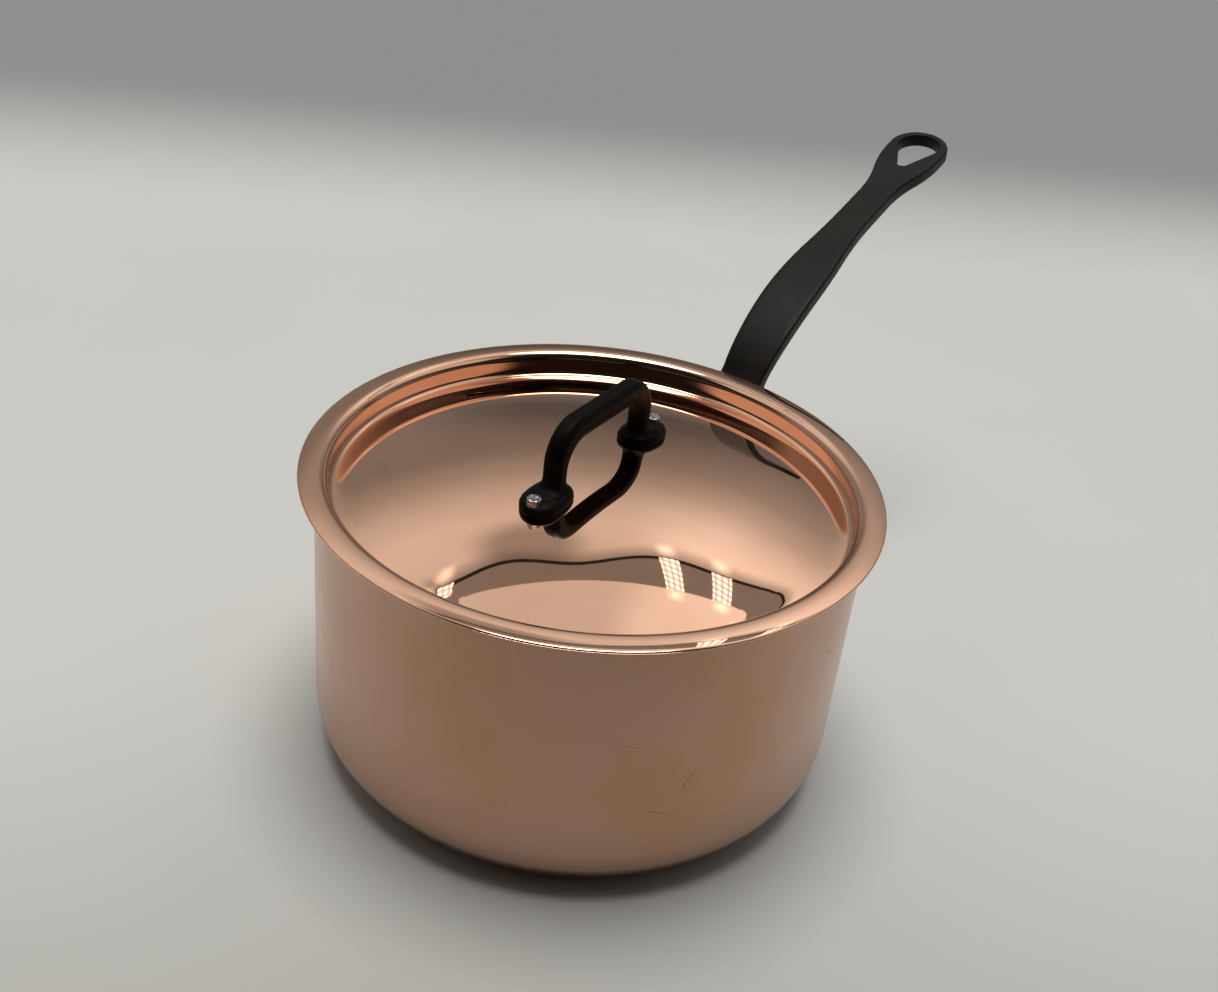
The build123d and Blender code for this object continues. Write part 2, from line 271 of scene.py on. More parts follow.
finishes = {
    # the body's copper is darkened as painted shade
    "bodyCopperPaintedShade": copperFinish("bodyCopperPaintedShade", "body", 0.22, 0.25),
    "lidCopper": copperFinish("lidCopper", "lid", 0.02, 0.04),
    "steel": steelFinish("brushedSteel"),
    "strapIron": ironFinish("strapIron", 0.75, 0.13),
    "loopIron": ironFinish("loopIron", 0.2, 0.045),
    "rivetSteel": rivetFinish("rivetSteel"),
}
print("finishes made:", len(finishes))


# ---- shape helpers
def gridQuads(rows, columns):
    # one quad between each pair of rows and each pair of columns, the last column joined to the first
    row, column = np.meshgrid(np.arange(rows - 1), np.arange(columns), indexing="ij")
    follow, here, above = (column + 1) % columns, row * columns, (row + 1) * columns
    corners = (here + column, above + column, above + follow, here + follow)
    return np.stack([corner.ravel() for corner in corners], axis=1)


def closedFaces(count, width):
    # a grid's quads, then triangles that close its first and last rows on two more points, which follow its own
    first, last, base = count * width, count * width + 1, (count - 1) * width
    faces = gridQuads(count, width).tolist() + [(first, j, (j + 1) % width) for j in range(width)]
    return faces + [(last, base + (j + 1) % width, base + j) for j in range(width)]


def smoothAll(mesh):
    mesh.polygons.foreach_set("use_smooth", [True] * len(mesh.polygons))


def addMesh(name, points, faces, material):
    mesh = bpy.data.meshes.new(name)
    mesh.from_pydata(points, [], faces)
    mesh.materials.append(material)
    item = bpy.data.objects.new(name, mesh)
    bpy.context.scene.collection.objects.link(item)
    return item


def makePiece(name, points, faces, body, nodes, finish):
    piece = addMesh(name, (np.asarray(points) * mm).tolist(), faces, finishes[finish])
    smoothAll(piece.data)
    piece.data.update()
    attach(piece, body)
    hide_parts(*nodes)
    return piece


def arc(centre, radius, start, end, count):
    # points on a circle's arc between two angles in degrees
    angle = np.radians(np.linspace(start, end, count))
    return np.stack([centre[0] + radius * np.cos(angle), centre[1] + radius * np.sin(angle)], axis=1)


def turned(profile, segments):
    # a closed profile of (radius, height), from the axis back to the axis, carried round the Z axis
    profile = np.asarray(profile)
    angle = np.linspace(0, 2 * np.pi, segments, endpoint=False)
    radius, height = profile[1:-1, 0][:, None], profile[1:-1, 1][:, None]
    rings = np.stack([radius * np.cos(angle), radius * np.sin(angle), height + 0 * angle], axis=-1).reshape(-1, 3)
    points = np.vstack([rings, (0, 0, profile[0, 1]), (0, 0, profile[-1, 1])])
    return points, closedFaces(len(profile) - 2, segments)


def angleOf(start, end):
    return math.degrees(math.atan2(end[1] - start[1], end[0] - start[0]))


# ---- pan: a copper shell over a steel lining
pan = {
    "radius": 92.5, "copper": 2.1, "steel": 0.4, "height": 104.9, "corner": 21.5, "outerBrim": 0.5, "innerBrim": 0.3,
    "segments": 288, "sharp": 0.02, "outOfRound": 0.03, "waveFrom": 12, "waveLead": 20, "waveEnd": 2, "waveFade": 12,
}


def panSkin(inset):
    # half section of one face of the sheet, at a depth from the outside: its flat base, then a quarter arc
    corner = (pan["radius"] - pan["corner"], pan["corner"])
    foot = arc(corner, pan["corner"] - inset, -90, 0, 40)
    return np.stack([np.linspace(0, foot[0, 0], 14), np.full(14, inset)], axis=1)[:-1], foot


def brimCorner(place, radius, outward):
    # the brim's corner at one face: an arc, or a tiny bevel where the two sheets meet
    top, into = pan["height"], -outward
    if radius:
        turn = (90, 0) if outward > 0 else (180, 90)
        return arc((place + into * radius, top - radius), radius, *turn, 8 if outward > 0 else 6)
    ends = np.array([(place, top - pan["sharp"]), (place + into * pan["sharp"], top)])
    return ends if outward < 0 else ends[::-1]


def panSection(inner, outer, brim):
    # inner face from the axis up to the brim, over it, and down the outer face to the axis
    base, foot = panSkin(inner)
    outBase, outFoot = panSkin(outer)
    height = np.linspace(pan["corner"], pan["height"] - brim[0] - brim[1], 26)[1:]
    inside, outside = pan["radius"] - inner, pan["radius"] - outer
    up = np.stack([np.full(len(height), inside), height], axis=1)
    down = np.stack([np.full(len(height), outside), height[::-1]], axis=1)
    over = [brimCorner(inside, brim[0], -1), brimCorner(outside, brim[1], 1)]
    return np.vstack([base, foot, up, *over, down, outFoot[::-1], outBase[::-1]])


def outOfRound(points):
    # the hand-finished side is out of round by a few hundredths of a millimetre
    turn, height, reach = np.arctan2(points[:, 1], points[:, 0]), points[:, 2], np.hypot(points[:, 0], points[:, 1])
    three, seven = np.cos(3 * turn + 0.6) * np.sin(height / 31), np.cos(7 * turn + height / 40)
    lead = np.clip((height - pan["waveFrom"]) / pan["waveLead"], 0, 1)
    fade = np.clip((pan["height"] - pan["waveEnd"] - height) / pan["waveFade"], 0, 1)
    swell = pan["outOfRound"] * (three + 0.6 * seven - 1.6) * lead * fade * (reach > pan["radius"] - 1)
    points[:, :2] *= (1 + swell / pan["radius"])[:, None]
    return points


points, faces = turned(panSection(pan["copper"], 0.0, (0.0, pan["outerBrim"])), pan["segments"])
makePiece("panShell", outOfRound(points), faces, "pan", ["pan_shell"], "bodyCopperPaintedShade")
innerFace = pan["copper"] + pan["steel"]
points, faces = turned(panSection(innerFace, pan["copper"], (pan["innerBrim"], 0.0)), pan["segments"])
makePiece("panLining", points, faces, "pan", ["pan_lining"], "steel")
print("pan made")


# ---- lid: a shallow dome in a dish, with a rounded brim over the pan's rim
lid = {
    "wall": 88.0, "copper": 1.2, "steel": 0.3, "outer": 97.8, "domeRise": 12.4, "domeTop": 109.1, "seat": 104.9,
    "crest": 106.6, "crestRadius": 91.7, "crown": 30.0, "lip": 3.3, "trough": 2.0, "edge": 0.6, "lowEdge": 0.3,
    "lowEdgeIn": 0.5, "underCorner": 0.8, "segments": 288, "wave": 0.05, "waveEnd": 0.97, "waveFade": 0.12,
    "easeAt": (0.0, 77.5, 79.5, 82.0, 84.0, 85.4, 86.2), "easeSlope": (0.0, 14.09, 14.2, 13.3, 10.5, 5.0, 0.0),
}
domeRadius = (lid["wall"] ** 2 + lid["domeRise"] ** 2) / (2 * lid["domeRise"])
domeCentre = lid["domeTop"] - domeRadius


def domeHeight(x, y, depth=0.0):
    return domeCentre + np.sqrt((domeRadius - depth) ** 2 - x**2 - y**2)


def dishFace(depth, count):
    # dome from its top outwards, the trough and the foot of the wall, at a depth in the sheet
    across = lid["wall"] - lid["trough"]
    centre = (across, domeCentre + math.sqrt((domeRadius + lid["trough"]) ** 2 - across**2))
    foot = angleOf((0, domeCentre), centre)
    dome = arc((0, domeCentre), domeRadius - depth, 90, foot, count)
    return np.vstack([dome[:-1], arc(centre, lid["trough"] + depth, foot - 180, 0, 16)])


def easedDome(count):
    # upper face: its slope grows as on a sphere, eases off before the trough and turns up the wall in a small arc
    easeFrom, easeEnd = lid["easeAt"][1], lid["easeAt"][-1]
    across = np.concatenate([np.linspace(0, easeFrom, count), np.linspace(easeFrom, easeEnd, 60)[1:]])
    sphere = np.degrees(np.arcsin(np.minimum(across, easeFrom) / domeRadius))
    slope = np.radians(np.where(across < easeFrom, sphere, np.interp(across, lid["easeAt"], lid["easeSlope"])))
    smooth = np.convolve(np.pad(slope, 4, "edge"), np.ones(9) / 9, "valid")
    slope = np.where(across > easeFrom - 3, smooth, slope)
    fall = np.concatenate([[0], np.cumsum(np.diff(across) * (np.tan(slope[1:]) + np.tan(slope[:-1])) / 2)])
    turn = lid["wall"] - across[-1]
    up = arc((across[-1], lid["domeTop"] - fall[-1] + turn), turn, -84, 0, 16)
    return np.vstack([np.stack([across, lid["domeTop"] - fall], axis=1), up])


def underFlange(depth, outer, seat, corner):
    # from the flange's outer end inwards and round the corner down to the wall
    place = lid["wall"] + depth
    flat = np.stack([np.linspace(outer, place + corner, 8), np.full(8, seat)], axis=1)
    return np.vstack([flat, arc((place + corner, seat - corner), corner, 90, 180, 10)[1:]])


def underCrown(place, radius):
    # centre of a small arc that touches the crown's arc from inside
    return place, crownCentre[1] + math.sqrt((lid["crown"] - radius) ** 2 - (place - crownCentre[0]) ** 2)


crownCentre = (lid["crestRadius"], lid["crest"] - lid["crown"])
lipCentre = underCrown(lid["wall"] + lid["lip"], lid["lip"])
edgeCentre = underCrown(lid["outer"] - lid["edge"], lid["edge"])
lipAngle, edgeAngle = angleOf(crownCentre, lipCentre), angleOf(crownCentre, edgeCentre)
flangeSeat, flangeCorner = lid["seat"] + lid["steel"], lid["underCorner"] + lid["steel"]
upper = easedDome(90)
wallUp = np.stack([np.full(6, lid["wall"]), np.linspace(upper[-1, 1], lipCentre[1], 6)], axis=1)[1:-1]
brimTop = np.vstack([
    arc(lipCentre, lid["lip"], 180, lipAngle, 20),
    arc(crownCentre, lid["crown"], lipAngle, edgeAngle, 22)[1:-1],
    arc(edgeCentre, lid["edge"], edgeAngle, 0, 10),
    arc((lid["outer"] - lid["lowEdge"], flangeSeat + lid["lowEdge"]), lid["lowEdge"], 0, -90, 6),
])
under = underFlange(lid["copper"], lid["outer"] - lid["lowEdgeIn"], flangeSeat, flangeCorner)
lower = dishFace(lid["copper"], 60)[::-1]
points, faces = turned(np.vstack([upper, wallUp, brimTop, under, lower]), lid["segments"])
turnAngle = np.arctan2(points[:, 1], points[:, 0])
share = np.hypot(points[:, 0], points[:, 1]) / lid["wall"]
# the spun sheet isn't a perfect sphere: low waves that grow with the cube of the reach and end before the trough
waves = np.cos(3 * turnAngle + 0.4) + 0.55 * np.cos(5 * turnAngle + 2.1) + 0.3 * np.cos(8 * turnAngle - 0.7)
waves *= np.clip(share, 0, 1) ** 3 * np.clip((lid["waveEnd"] - share) / lid["waveFade"], 0, 1)
points[:, 2] += lid["wave"] * waves
makePiece("lidShell", points, faces, "lid", ["lid_shell"], "lidCopper")

sheet, steelOuter = lid["copper"] + lid["steel"], lid["outer"] - lid["edge"]
upper = dishFace(lid["copper"], 90)
over = underFlange(lid["copper"], steelOuter, flangeSeat, flangeCorner)[::-1]
under = underFlange(sheet, steelOuter, lid["seat"], lid["underCorner"])
points, faces = turned(np.vstack([upper, over, under, dishFace(sheet, 90)[::-1]]), lid["segments"])
makePiece("lidLining", points, faces, "lid", ["lid_lining"], "steel")
print("lid made")


# ---- loop handle: a bow on two domed feet, one casting
loop = {
    "length": 57.0, "height": 24.9, "width": 7.2, "leg": 5.9, "bar": 7.8, "outerCorner": 13.0, "innerCorner": 9.5,
    "edge": 2.1, "facingIn": 6, "footShift": 0.7, "footLength": 20.6, "footWidth": 14.2, "footRise": 2.7,
    "footRound": 2.4, "footBulge": 6.0, "footFall": 0.4, "sole": 0.6, "blend": 3.4, "hollow": 3.74,
    "hollowShare": 0.45, "above": 0.01,
}


def roundedSection(halfA, halfB, edge, perCorner=7, perSide=4):
    # points round a rectangle with round corners, and the direction that each one faces
    places, facing = [], []
    signs, inward = ((1, 1), (-1, 1), (-1, -1), (1, -1)), loop["facingIn"]
    for corner in range(4):
        quarter = 90 * corner
        middle, following = (np.array(signs[k % 4]) * (halfA - edge, halfB - edge) for k in (corner, corner + 1))
        places.append(arc(middle, edge, quarter, quarter + 90, perCorner))
        facing.append(np.linspace(quarter + inward, quarter + 90 - inward, perCorner))
        share = np.linspace(0, 1, perSide + 2)[1:-1, None]
        places.append(places[-1][-1] * (1 - share) + arc(following, edge, quarter + 90, 0, 1) * share)
        facing.append(quarter + 90 - inward + 2 * inward * share[:, 0])
    return np.vstack(places), np.radians(np.concatenate(facing))


def loopFoot(unit, facing, outside, inside):
    # each section point travels from the leg to the foot's rim: a hollow curve, a slight fall, a round, then the sole
    footTop, sole, fall = lid["domeTop"] + loop["footRise"], loop["sole"], loop["footFall"]
    half, halfLeg = loop["footWidth"] / 2, loop["leg"] / 2
    straight = loop["footLength"] / 2 - half
    footMiddle = -outside - loop["footShift"]
    legFlat = np.stack([-(outside + inside) / 2 - unit[:, 0] * halfLeg, unit[:, 1] * halfLeg], axis=1)
    rimX = footMiddle - straight * np.tanh(3 * np.cos(facing)) - half * np.cos(facing)
    rim = np.stack([rimX, half * np.sin(facing)], axis=1)
    travel = np.hypot(*(rim - legFlat).T)
    hollow = np.minimum(loop["hollow"], loop["hollowShare"] * travel)
    bulge = np.minimum(loop["footBulge"], travel - hollow)
    ground = domeHeight(rim[:, 0], rim[:, 1])
    steps = []
    for angle in np.radians(np.linspace(0, 90, 8)):
        steps.append((hollow * (1 - np.cos(angle)) / travel, footTop + loop["blend"] * (1 - np.sin(angle))))
    for share in (0.4, 0.75):
        steps.append(((hollow + share * (travel - hollow - bulge)) / travel, footTop - fall * share))
    for angle in np.radians(np.linspace(0, 90, 9)):
        low = footTop - fall - loop["footRound"] * (1 - np.cos(angle))
        steps.append((1 - bulge * (1 - np.sin(angle)) / travel, low))
    for angle in np.radians(np.linspace(20, 90, 5)):
        steps.append((1 - sole * (1 - np.cos(angle)) / travel, ground + sole * (1 - np.sin(angle))))
    rows = []

    def addRing(flat, height):
        lowest = domeHeight(flat[:, 0], flat[:, 1]) + loop["above"]
        rows.append(np.column_stack([flat, np.maximum(height, lowest)]))

    for share, height in steps:
        addRing(legFlat + share[:, None] * (rim - legFlat), height)
    solePlace, middle = rows[-1][:, :2], np.array([footMiddle, 0])
    for share in (0.75, 0.5, 0.25, 0.0):
        addRing(middle + share * (solePlace - middle), 0.0)
    return rows[::-1]


def loopHalf():
    # rows of section points, from the pole under the left foot up the leg and along the bar to its middle
    outside, inside = loop["length"] / 2, loop["length"] / 2 - loop["leg"]
    top = lid["domeTop"] + loop["height"]
    legFoot = lid["domeTop"] + loop["footRise"] + loop["blend"]
    outerCentre = np.array([-outside + loop["outerCorner"], top - loop["outerCorner"]])
    innerCentre = np.array([-inside + loop["innerCorner"], top - loop["bar"] - loop["innerCorner"]])
    unit, facing = roundedSection(1, loop["width"] / loop["leg"], 2 * loop["edge"] / loop["leg"])
    rows = loopFoot(unit, facing, outside, inside)

    def addRow(outer, inner):
        outer, inner = np.asarray(outer, float), np.asarray(inner, float)
        flat = (outer + inner) / 2 + unit[:, :1] * (outer - inner) / 2
        rows.append(np.stack([flat[:, 0], unit[:, 1] * loop["leg"] / 2, flat[:, 1]], axis=1))

    for height in np.linspace(legFoot + loop["sole"], innerCentre[1], 5):
        climb = (height - legFoot) / (innerCentre[1] - legFoot)
        addRow((-outside, height + (outerCentre[1] - innerCentre[1]) * climb), (-inside, height))
    for angle in np.radians(np.linspace(180, 90, 16))[1:]:
        direction = np.array([math.cos(angle), math.sin(angle)])
        addRow(outerCentre + loop["outerCorner"] * direction, innerCentre + loop["innerCorner"] * direction)
    for share in np.linspace(0, 1, 9)[1:]:
        addRow((outerCentre[0] * (1 - share), top), (innerCentre[0] * (1 - share), top - loop["bar"]))
    return np.array(rows)


half = loopHalf()
rows = np.concatenate([half, half[-2::-1] * np.array([-1, 1, 1])])
faces = gridQuads(len(rows), rows.shape[1])[:, ::-1].tolist()
makePiece("loopHandle", rows.reshape(-1, 3), faces, "lid", ["lid_handle"], "loopIron")
print("loop handle made")


# ---- long handle: a strap bent outwards in three arcs, with an eye, on a plate
strap = {
    "thickness": 5.8, "edge": 1.1, "root": (97.5, 86.3), "rootBelow": 4.0, "slopes": (77.0, 38.0, 21.0, 14.2),
    "bends": (50.0, 115.0, 416.0), "straight": 66.0, "step": 0.1, "lead": 40, "tail": 1000,
    "grip": 20.6, "waist": 14.4, "heel": 9.0, "heelLength": 75.0, "gripLength": 60.0, "waistLength": 17.0,
    "neckLength": 41.0, "eye": 13.0, "shoulder": 4.0, "tip": 40, "hole": 9.0, "holeShift": 0.8, "apex": 18.8,
    "apexRadius": 2.2, "holeEdge": 0.7, "holeLead": 3.2, "spineFrom": 45.0, "flare": 4.5, "flareLength": 11.0,
    "flareMost": 1.15, "flareDeep": 0.9, "weld": 1e-6, "shortest": 1e-7,
}


def strapLine():
    # the upper face from the side: slope, place and distance along the eye's plane, by walking along the arcs
    pace, tail = strap["step"], strap["tail"]
    first = math.radians(strap["slopes"][0])
    start = np.array(strap["root"]) - strap["rootBelow"] * np.array([math.cos(first), math.sin(first)])
    slopes, steps = [np.full(strap["lead"], strap["slopes"][0])], [np.full(strap["lead"], pace)]
    for radius, slope, following in zip(strap["bends"], strap["slopes"], strap["slopes"][1:]):
        length = radius * math.radians(slope - following)
        count = int(length / pace)
        slopes.append(np.linspace(slope, following, count))
        steps.append(np.full(count, length / count))
    slopes.append(np.full(tail, strap["slopes"][-1]))
    steps.append(np.full(tail, pace))
    slope, step = np.radians(np.concatenate(slopes)), np.concatenate(steps)
    walked = np.cumsum(np.stack([np.cos(slope) * step, np.sin(slope) * step], axis=1), axis=0)
    place = start + np.vstack([(0, 0), walked])[:-1]
    tilt = np.array([math.cos(slope[-1]), math.sin(slope[-1])])
    eyePlace = place[len(slope) - tail] + strap["straight"] * tilt
    return place, slope, (place - eyePlace) @ tilt


linePlace, lineSlope, lineShare = strapLine()


def onStrap(along, across, depth):
    # a point of the strap: the upper face at a distance along the eye's plane, then down square to that face
    x = np.interp(along, lineShare, linePlace[:, 0])
    z = np.interp(along, lineShare, linePlace[:, 1])
    slope = np.interp(along, lineShare, lineSlope)
    return np.stack([x + depth * np.sin(slope), across, z - depth * np.cos(slope)], axis=-1)


def swing(length, rise, count):
    # two equal arcs, level at both ends
    radius = (length**2 + rise**2) / (4 * abs(rise))
    x = np.linspace(0, length, count)
    first = radius - np.sqrt(radius**2 - np.minimum(x, length / 2) ** 2)
    second = abs(rise) - (radius - np.sqrt(radius**2 - np.minimum(length - x, length / 2) ** 2))
    return x, np.where(x <= length / 2, first, second) * np.sign(rise)


def strapOutline():
    # half outline from the root to the tip of the eye
    grip, waist, heel = strap["grip"] / 2, strap["waist"] / 2, strap["heel"] / 2
    neck = -strap["shoulder"] - strap["neckLength"]
    slim = neck - strap["waistLength"]
    wide = slim - strap["gripLength"]
    heelRadius = (strap["heelLength"] ** 2 + (grip - heel) ** 2) / (2 * (grip - heel))
    x = np.linspace(lineShare[0] + 0.3, wide, 60)[:-1]
    parts = [np.stack([x, grip - heelRadius + np.sqrt(heelRadius**2 - (x - wide) ** 2)], axis=1)]
    x, y = swing(strap["gripLength"], waist - grip, 44)
    parts.append(np.stack([wide + x, grip + y], axis=1)[:-1])
    parts.append(np.stack([np.linspace(slim, neck, 8), np.full(8, waist)], axis=1)[:-1])
    x, y = swing(strap["neckLength"], strap["eye"] - waist, 44)
    parts.append(np.stack([neck + x, waist + y], axis=1)[:-1])
    parts.append(np.stack([np.linspace(-strap["shoulder"], 0, 5), np.full(5, strap["eye"])], axis=1)[:-1])
    parts.append(arc((0, 0), strap["eye"], 90, 0, strap["tip"]))
    return np.vstack(parts)


def holeOutline():
    # half teardrop, from its apex to its far end: a small arc, a straight side and a large arc
    small, large = (strap["apexRadius"] - strap["apex"], 0), (strap["holeShift"], 0)
    lean = 90 + math.degrees(math.asin((strap["hole"] - strap["apexRadius"]) / (large[0] - small[0])))
    first, last = arc(small, strap["apexRadius"], 180, lean, 12), arc(large, strap["hole"], lean, 0, 60)
    side = np.linspace(0, 1, 30)[1:-1, None]
    return np.vstack([first, first[-1] * (1 - side) + last[0] * side, last])


def lengthShare(line):
    run = np.concatenate([[0], np.cumsum(np.hypot(*np.diff(line, axis=0).T))])
    return run / run[-1]


def facingOf(line):
    # unit vectors square to a line, on its left
    step = np.gradient(line, axis=0)
    step /= np.hypot(step[:, 0], step[:, 1])[:, None]
    return np.stack([-step[:, 1], step[:, 0]], axis=1)


def strapMesh():
    # right half: a row at each point of the outline, its columns from the hole or the middle over the edge and back
    outline, hole = strapOutline(), holeOutline()
    facing = facingOf(outline)
    facing[-1] = (1, 0)
    along, count = outline[:, 0], len(outline)
    fromRoot = np.clip((lineShare[0] + 4 + strap["flareLength"] - along) / strap["flareLength"], 0, strap["flareMost"])
    flare = strap["flare"] * fromRoot**2
    outer = outline + np.stack([0 * flare, flare], axis=1)
    first = int(np.searchsorted(along[:count - strap["tip"]], -strap["apex"] - strap["holeLead"]))
    inHole = np.arange(count) >= first
    share = np.zeros(count)
    share[first:] = lengthShare(outline[first:])
    holeShare, holeFacing = lengthShare(hole), facingOf(hole)  # the hole's facing is into the metal
    inner, away = (np.stack([np.interp(share, holeShare, line[:, k]) for k in (0, 1)], axis=1)
                   for line in (hole, holeFacing))
    away[first], away[-1] = (-1, 0), (1, 0)
    lead = np.clip((along + strap["spineFrom"]) / (strap["spineFrom"] - strap["apex"] - strap["holeLead"]), 0, 1)
    spine = along + (strap["holeLead"] - strap["holeEdge"]) * lead**2
    inner[~inHole] = np.stack([spine, 0 * spine], axis=1)[~inHole]
    edge, rim = strap["edge"], strap["holeEdge"] * inHole
    high, low = -strap["flareDeep"] * flare, strap["thickness"] + strap["flareDeep"] * flare
    columns = []

    def addColumn(place, depth):
        columns.append(onStrap(place[:, 0], place[:, 1], depth))

    topInner = inner + away * rim[:, None]
    topOuter = outer - facing * edge
    quarter, rimQuarter = np.radians(np.linspace(0, 90, 7)), np.radians(np.linspace(0, 90, 5))
    for step in np.linspace(0, 1, 6):
        addColumn(topInner + step * (topOuter - topInner), high)
    for angle in quarter[1:]:
        addColumn(topOuter + facing * edge * math.sin(angle), high + edge * (1 - math.cos(angle)))
    for angle in quarter[::-1]:
        addColumn(topOuter + facing * edge * math.sin(angle), low - edge * (1 - math.cos(angle)))
    for step in np.linspace(1, 0, 6)[1:]:
        addColumn(topInner + step * (topOuter - topInner), low)
    for angle in rimQuarter[1:]:
        addColumn(topInner - away * (rim * math.sin(angle))[:, None], low - rim * (1 - math.cos(angle)))
    for angle in rimQuarter[:0:-1]:
        addColumn(topInner - away * (rim * math.sin(angle))[:, None], high + rim * (1 - math.cos(angle)))
    right = np.stack(columns, axis=1)
    width = right.shape[1]
    quads = gridQuads(count, width)
    # a face across the hole's wall exists only where there is a hole
    row, column = quads[:, 0] // width, quads[:, 0] % width
    quads = quads[(column < width - 2 * len(rimQuarter) + 1) | (row >= first)]
    points = np.concatenate([right.reshape(-1, 3), (right * np.array([1, -1, 1])).reshape(-1, 3)])
    return points, np.concatenate([quads, quads[:, ::-1] + count * width])


plate = {
    "thickness": 5.0, "width": 52.0, "foot": 22.0, "top": 92.0, "shoulder": 68.0, "bottom": 41.0, "corner": 9.0,
    "edge": 1.5, "wall": 92.5, "middle": (0.0, 70.0),
}


def shieldOutline():
    # the plate's outline as seen along X: six corners, each rounded by an arc, and the direction that each point faces
    w, f = plate["width"] / 2, plate["foot"] / 2
    top, shoulder, bottom = plate["top"], plate["shoulder"], plate["bottom"]
    corners = np.array([(w, shoulder), (w, top), (-w, top), (-w, shoulder), (-f, bottom), (f, bottom)])
    places, facing = [], []
    for before, corner, after in zip(np.roll(corners, 1, axis=0), corners, np.roll(corners, -1, axis=0)):
        a, b = (before - corner) / np.hypot(*(before - corner)), (after - corner) / np.hypot(*(after - corner))
        bisector = (a + b) / np.hypot(*(a + b))
        half = math.acos(np.clip(a @ b, -1, 1)) / 2
        start = math.degrees(math.atan2(a[0], -a[1]))
        end = start + 180 - math.degrees(2 * half)
        places.append(arc(corner + bisector * plate["corner"] / math.sin(half), plate["corner"], start, end, 16))
        facing.append(arc((0, 0), 1, start, end, 16))
    return np.vstack(places), np.vstack(facing)


def plateMesh():
    # rings from the middle of the front over the edge to the middle of the back, all on cylinders round the pan's axis
    outline, facing = shieldOutline()
    middle, edge = np.array(plate["middle"]), plate["edge"]
    front, back = plate["wall"] + plate["thickness"], plate["wall"]
    rings = []

    def addRing(place, radius):
        rings.append(np.stack([np.sqrt(radius**2 - place[:, 0] ** 2), place[:, 0], place[:, 1]], axis=1))

    inset = outline - facing * edge
    for share in np.linspace(0.0, 1, 12)[1:]:
        addRing(middle + share * (inset - middle), front)
    for angle in np.radians(np.linspace(0, 90, 7))[1:]:
        addRing(inset + facing * edge * math.sin(angle), front - edge * (1 - math.cos(angle)))
    for radius in np.linspace(front - edge, back, 4)[1:]:
        addRing(outline, radius)
    for share in np.linspace(1, 0.0, 6)[1:-1]:
        addRing(middle + share * (outline - middle), back)
    points = np.vstack([np.vstack(rings), (front, *middle), (back, *middle)])
    return points, closedFaces(len(rings), len(outline))


strapPoints, strapQuads = strapMesh()
platePoints, plateFaces = plateMesh()
faces = strapQuads[:, ::-1].tolist() + [tuple(i + len(strapPoints) for i in face) for face in plateFaces]
points = np.vstack([strapPoints, platePoints])
handle = makePiece("longHandle", points, faces, "pan", ["long_handle"], "strapIron")
weld = bmesh.new()
weld.from_mesh(handle.data)
bmesh.ops.remove_doubles(weld, verts=weld.verts, dist=strap["weld"])
bmesh.ops.dissolve_degenerate(weld, edges=weld.edges, dist=strap["shortest"])
bmesh.ops.holes_fill(weld, edges=[edge for edge in weld.edges if edge.is_boundary])
bmesh.ops.recalc_face_normals(weld, faces=weld.faces)
weld.to_mesh(handle.data)
weld.free()
smoothAll(handle.data)
print("long handle made")


# ---- rivets
rivet = {
    "azimuths": (-10.905, 10.905, 0.0), "levels": (79.0, 79.0, 52.0), "shank": 3.0, "inner": 6.5, "outer": 5.2,
    "head": 2.0, "rim": 0.35, "innerRim": 0.5, "flat": 2.4, "hidden": (1.5, 1.7, 1.2, 1.0), "wall": 90.0,
}


def alongRay(points, azimuth, height):
    # a turned shape, its axis laid from Z along a level ray; this mirrors it and so turns its faces out
    turn = math.radians(azimuth)
    outward, across = np.array([math.cos(turn), math.sin(turn), 0]), np.array([-math.sin(turn), math.cos(turn), 0])
    return points[:, 2:] * outward + points[:, :1] * across + points[:, 1:2] * (0, 0, 1.0) + (0, 0, height)


def domedHead(radius, low, high, count=10):
    # from the middle of the head outwards: a flattened dome
    x = radius * np.sin(np.linspace(0, np.pi / 2, count))
    return np.stack([x, low + (high - low) * np.sqrt(np.maximum(0, 1 - (x / radius) ** rivet["flat"]))], axis=1)


outerFace, innerFace = plate["wall"] + plate["thickness"], rivet["wall"]
outside = domedHead(rivet["outer"], outerFace + rivet["rim"], outerFace + rivet["head"])
inside = domedHead(rivet["inner"], innerFace - rivet["innerRim"], innerFace - rivet["head"])[::-1]
hidden = rivet["hidden"]  # the heads' undersides lie in the plate and in the pan's wall
shank = np.array([
    (rivet["outer"], outerFace - hidden[0]), (rivet["shank"], outerFace - hidden[1]),
    (rivet["shank"], innerFace + hidden[2]), (rivet["inner"], innerFace + hidden[3]),
])
points, faces = turned(np.vstack([outside, shank, inside]), 56)
for number, (azimuth, height) in enumerate(zip(rivet["azimuths"], rivet["levels"]), 1):
    placed = alongRay(points, azimuth, height)
    makePiece(f"handleRivet{number}", placed, faces, "pan", [f"handle_rivet_{number}"], "rivetSteel")

lidRivet = {
    "reach": 36.4, "radius": 2.4, "proud": 1.0, "edge": 0.5, "head": 5.0, "headHeight": 1.6, "dent": 0.1, "bevel": 0.6,
    "hollow": ((0.0, 0.12), (1.1, 0.1)), "dentScale": (2.9, 3.3), "dentBelow": 0.2, "headTop": 1.2,
}
top = lid["domeTop"] + loop["footRise"] + lidRivet["proud"]
below = float(domeHeight(lidRivet["reach"], 0.0, sheet))
radius, edge, head, low = lidRivet["radius"], lidRivet["edge"], lidRivet["head"], below - lidRivet["headHeight"]
profile = np.vstack([
    [(place, top - depth) for place, depth in lidRivet["hollow"]], (radius - edge - 0.3, top),
    arc((radius - edge, top - edge), edge, 90, 0, 7),
    (radius, below + lidRivet["headTop"]), (head, below + lidRivet["bevel"]), (head, low + edge),
    arc((head - edge, low + edge), edge, 0, -90, 7), (0, low),
])
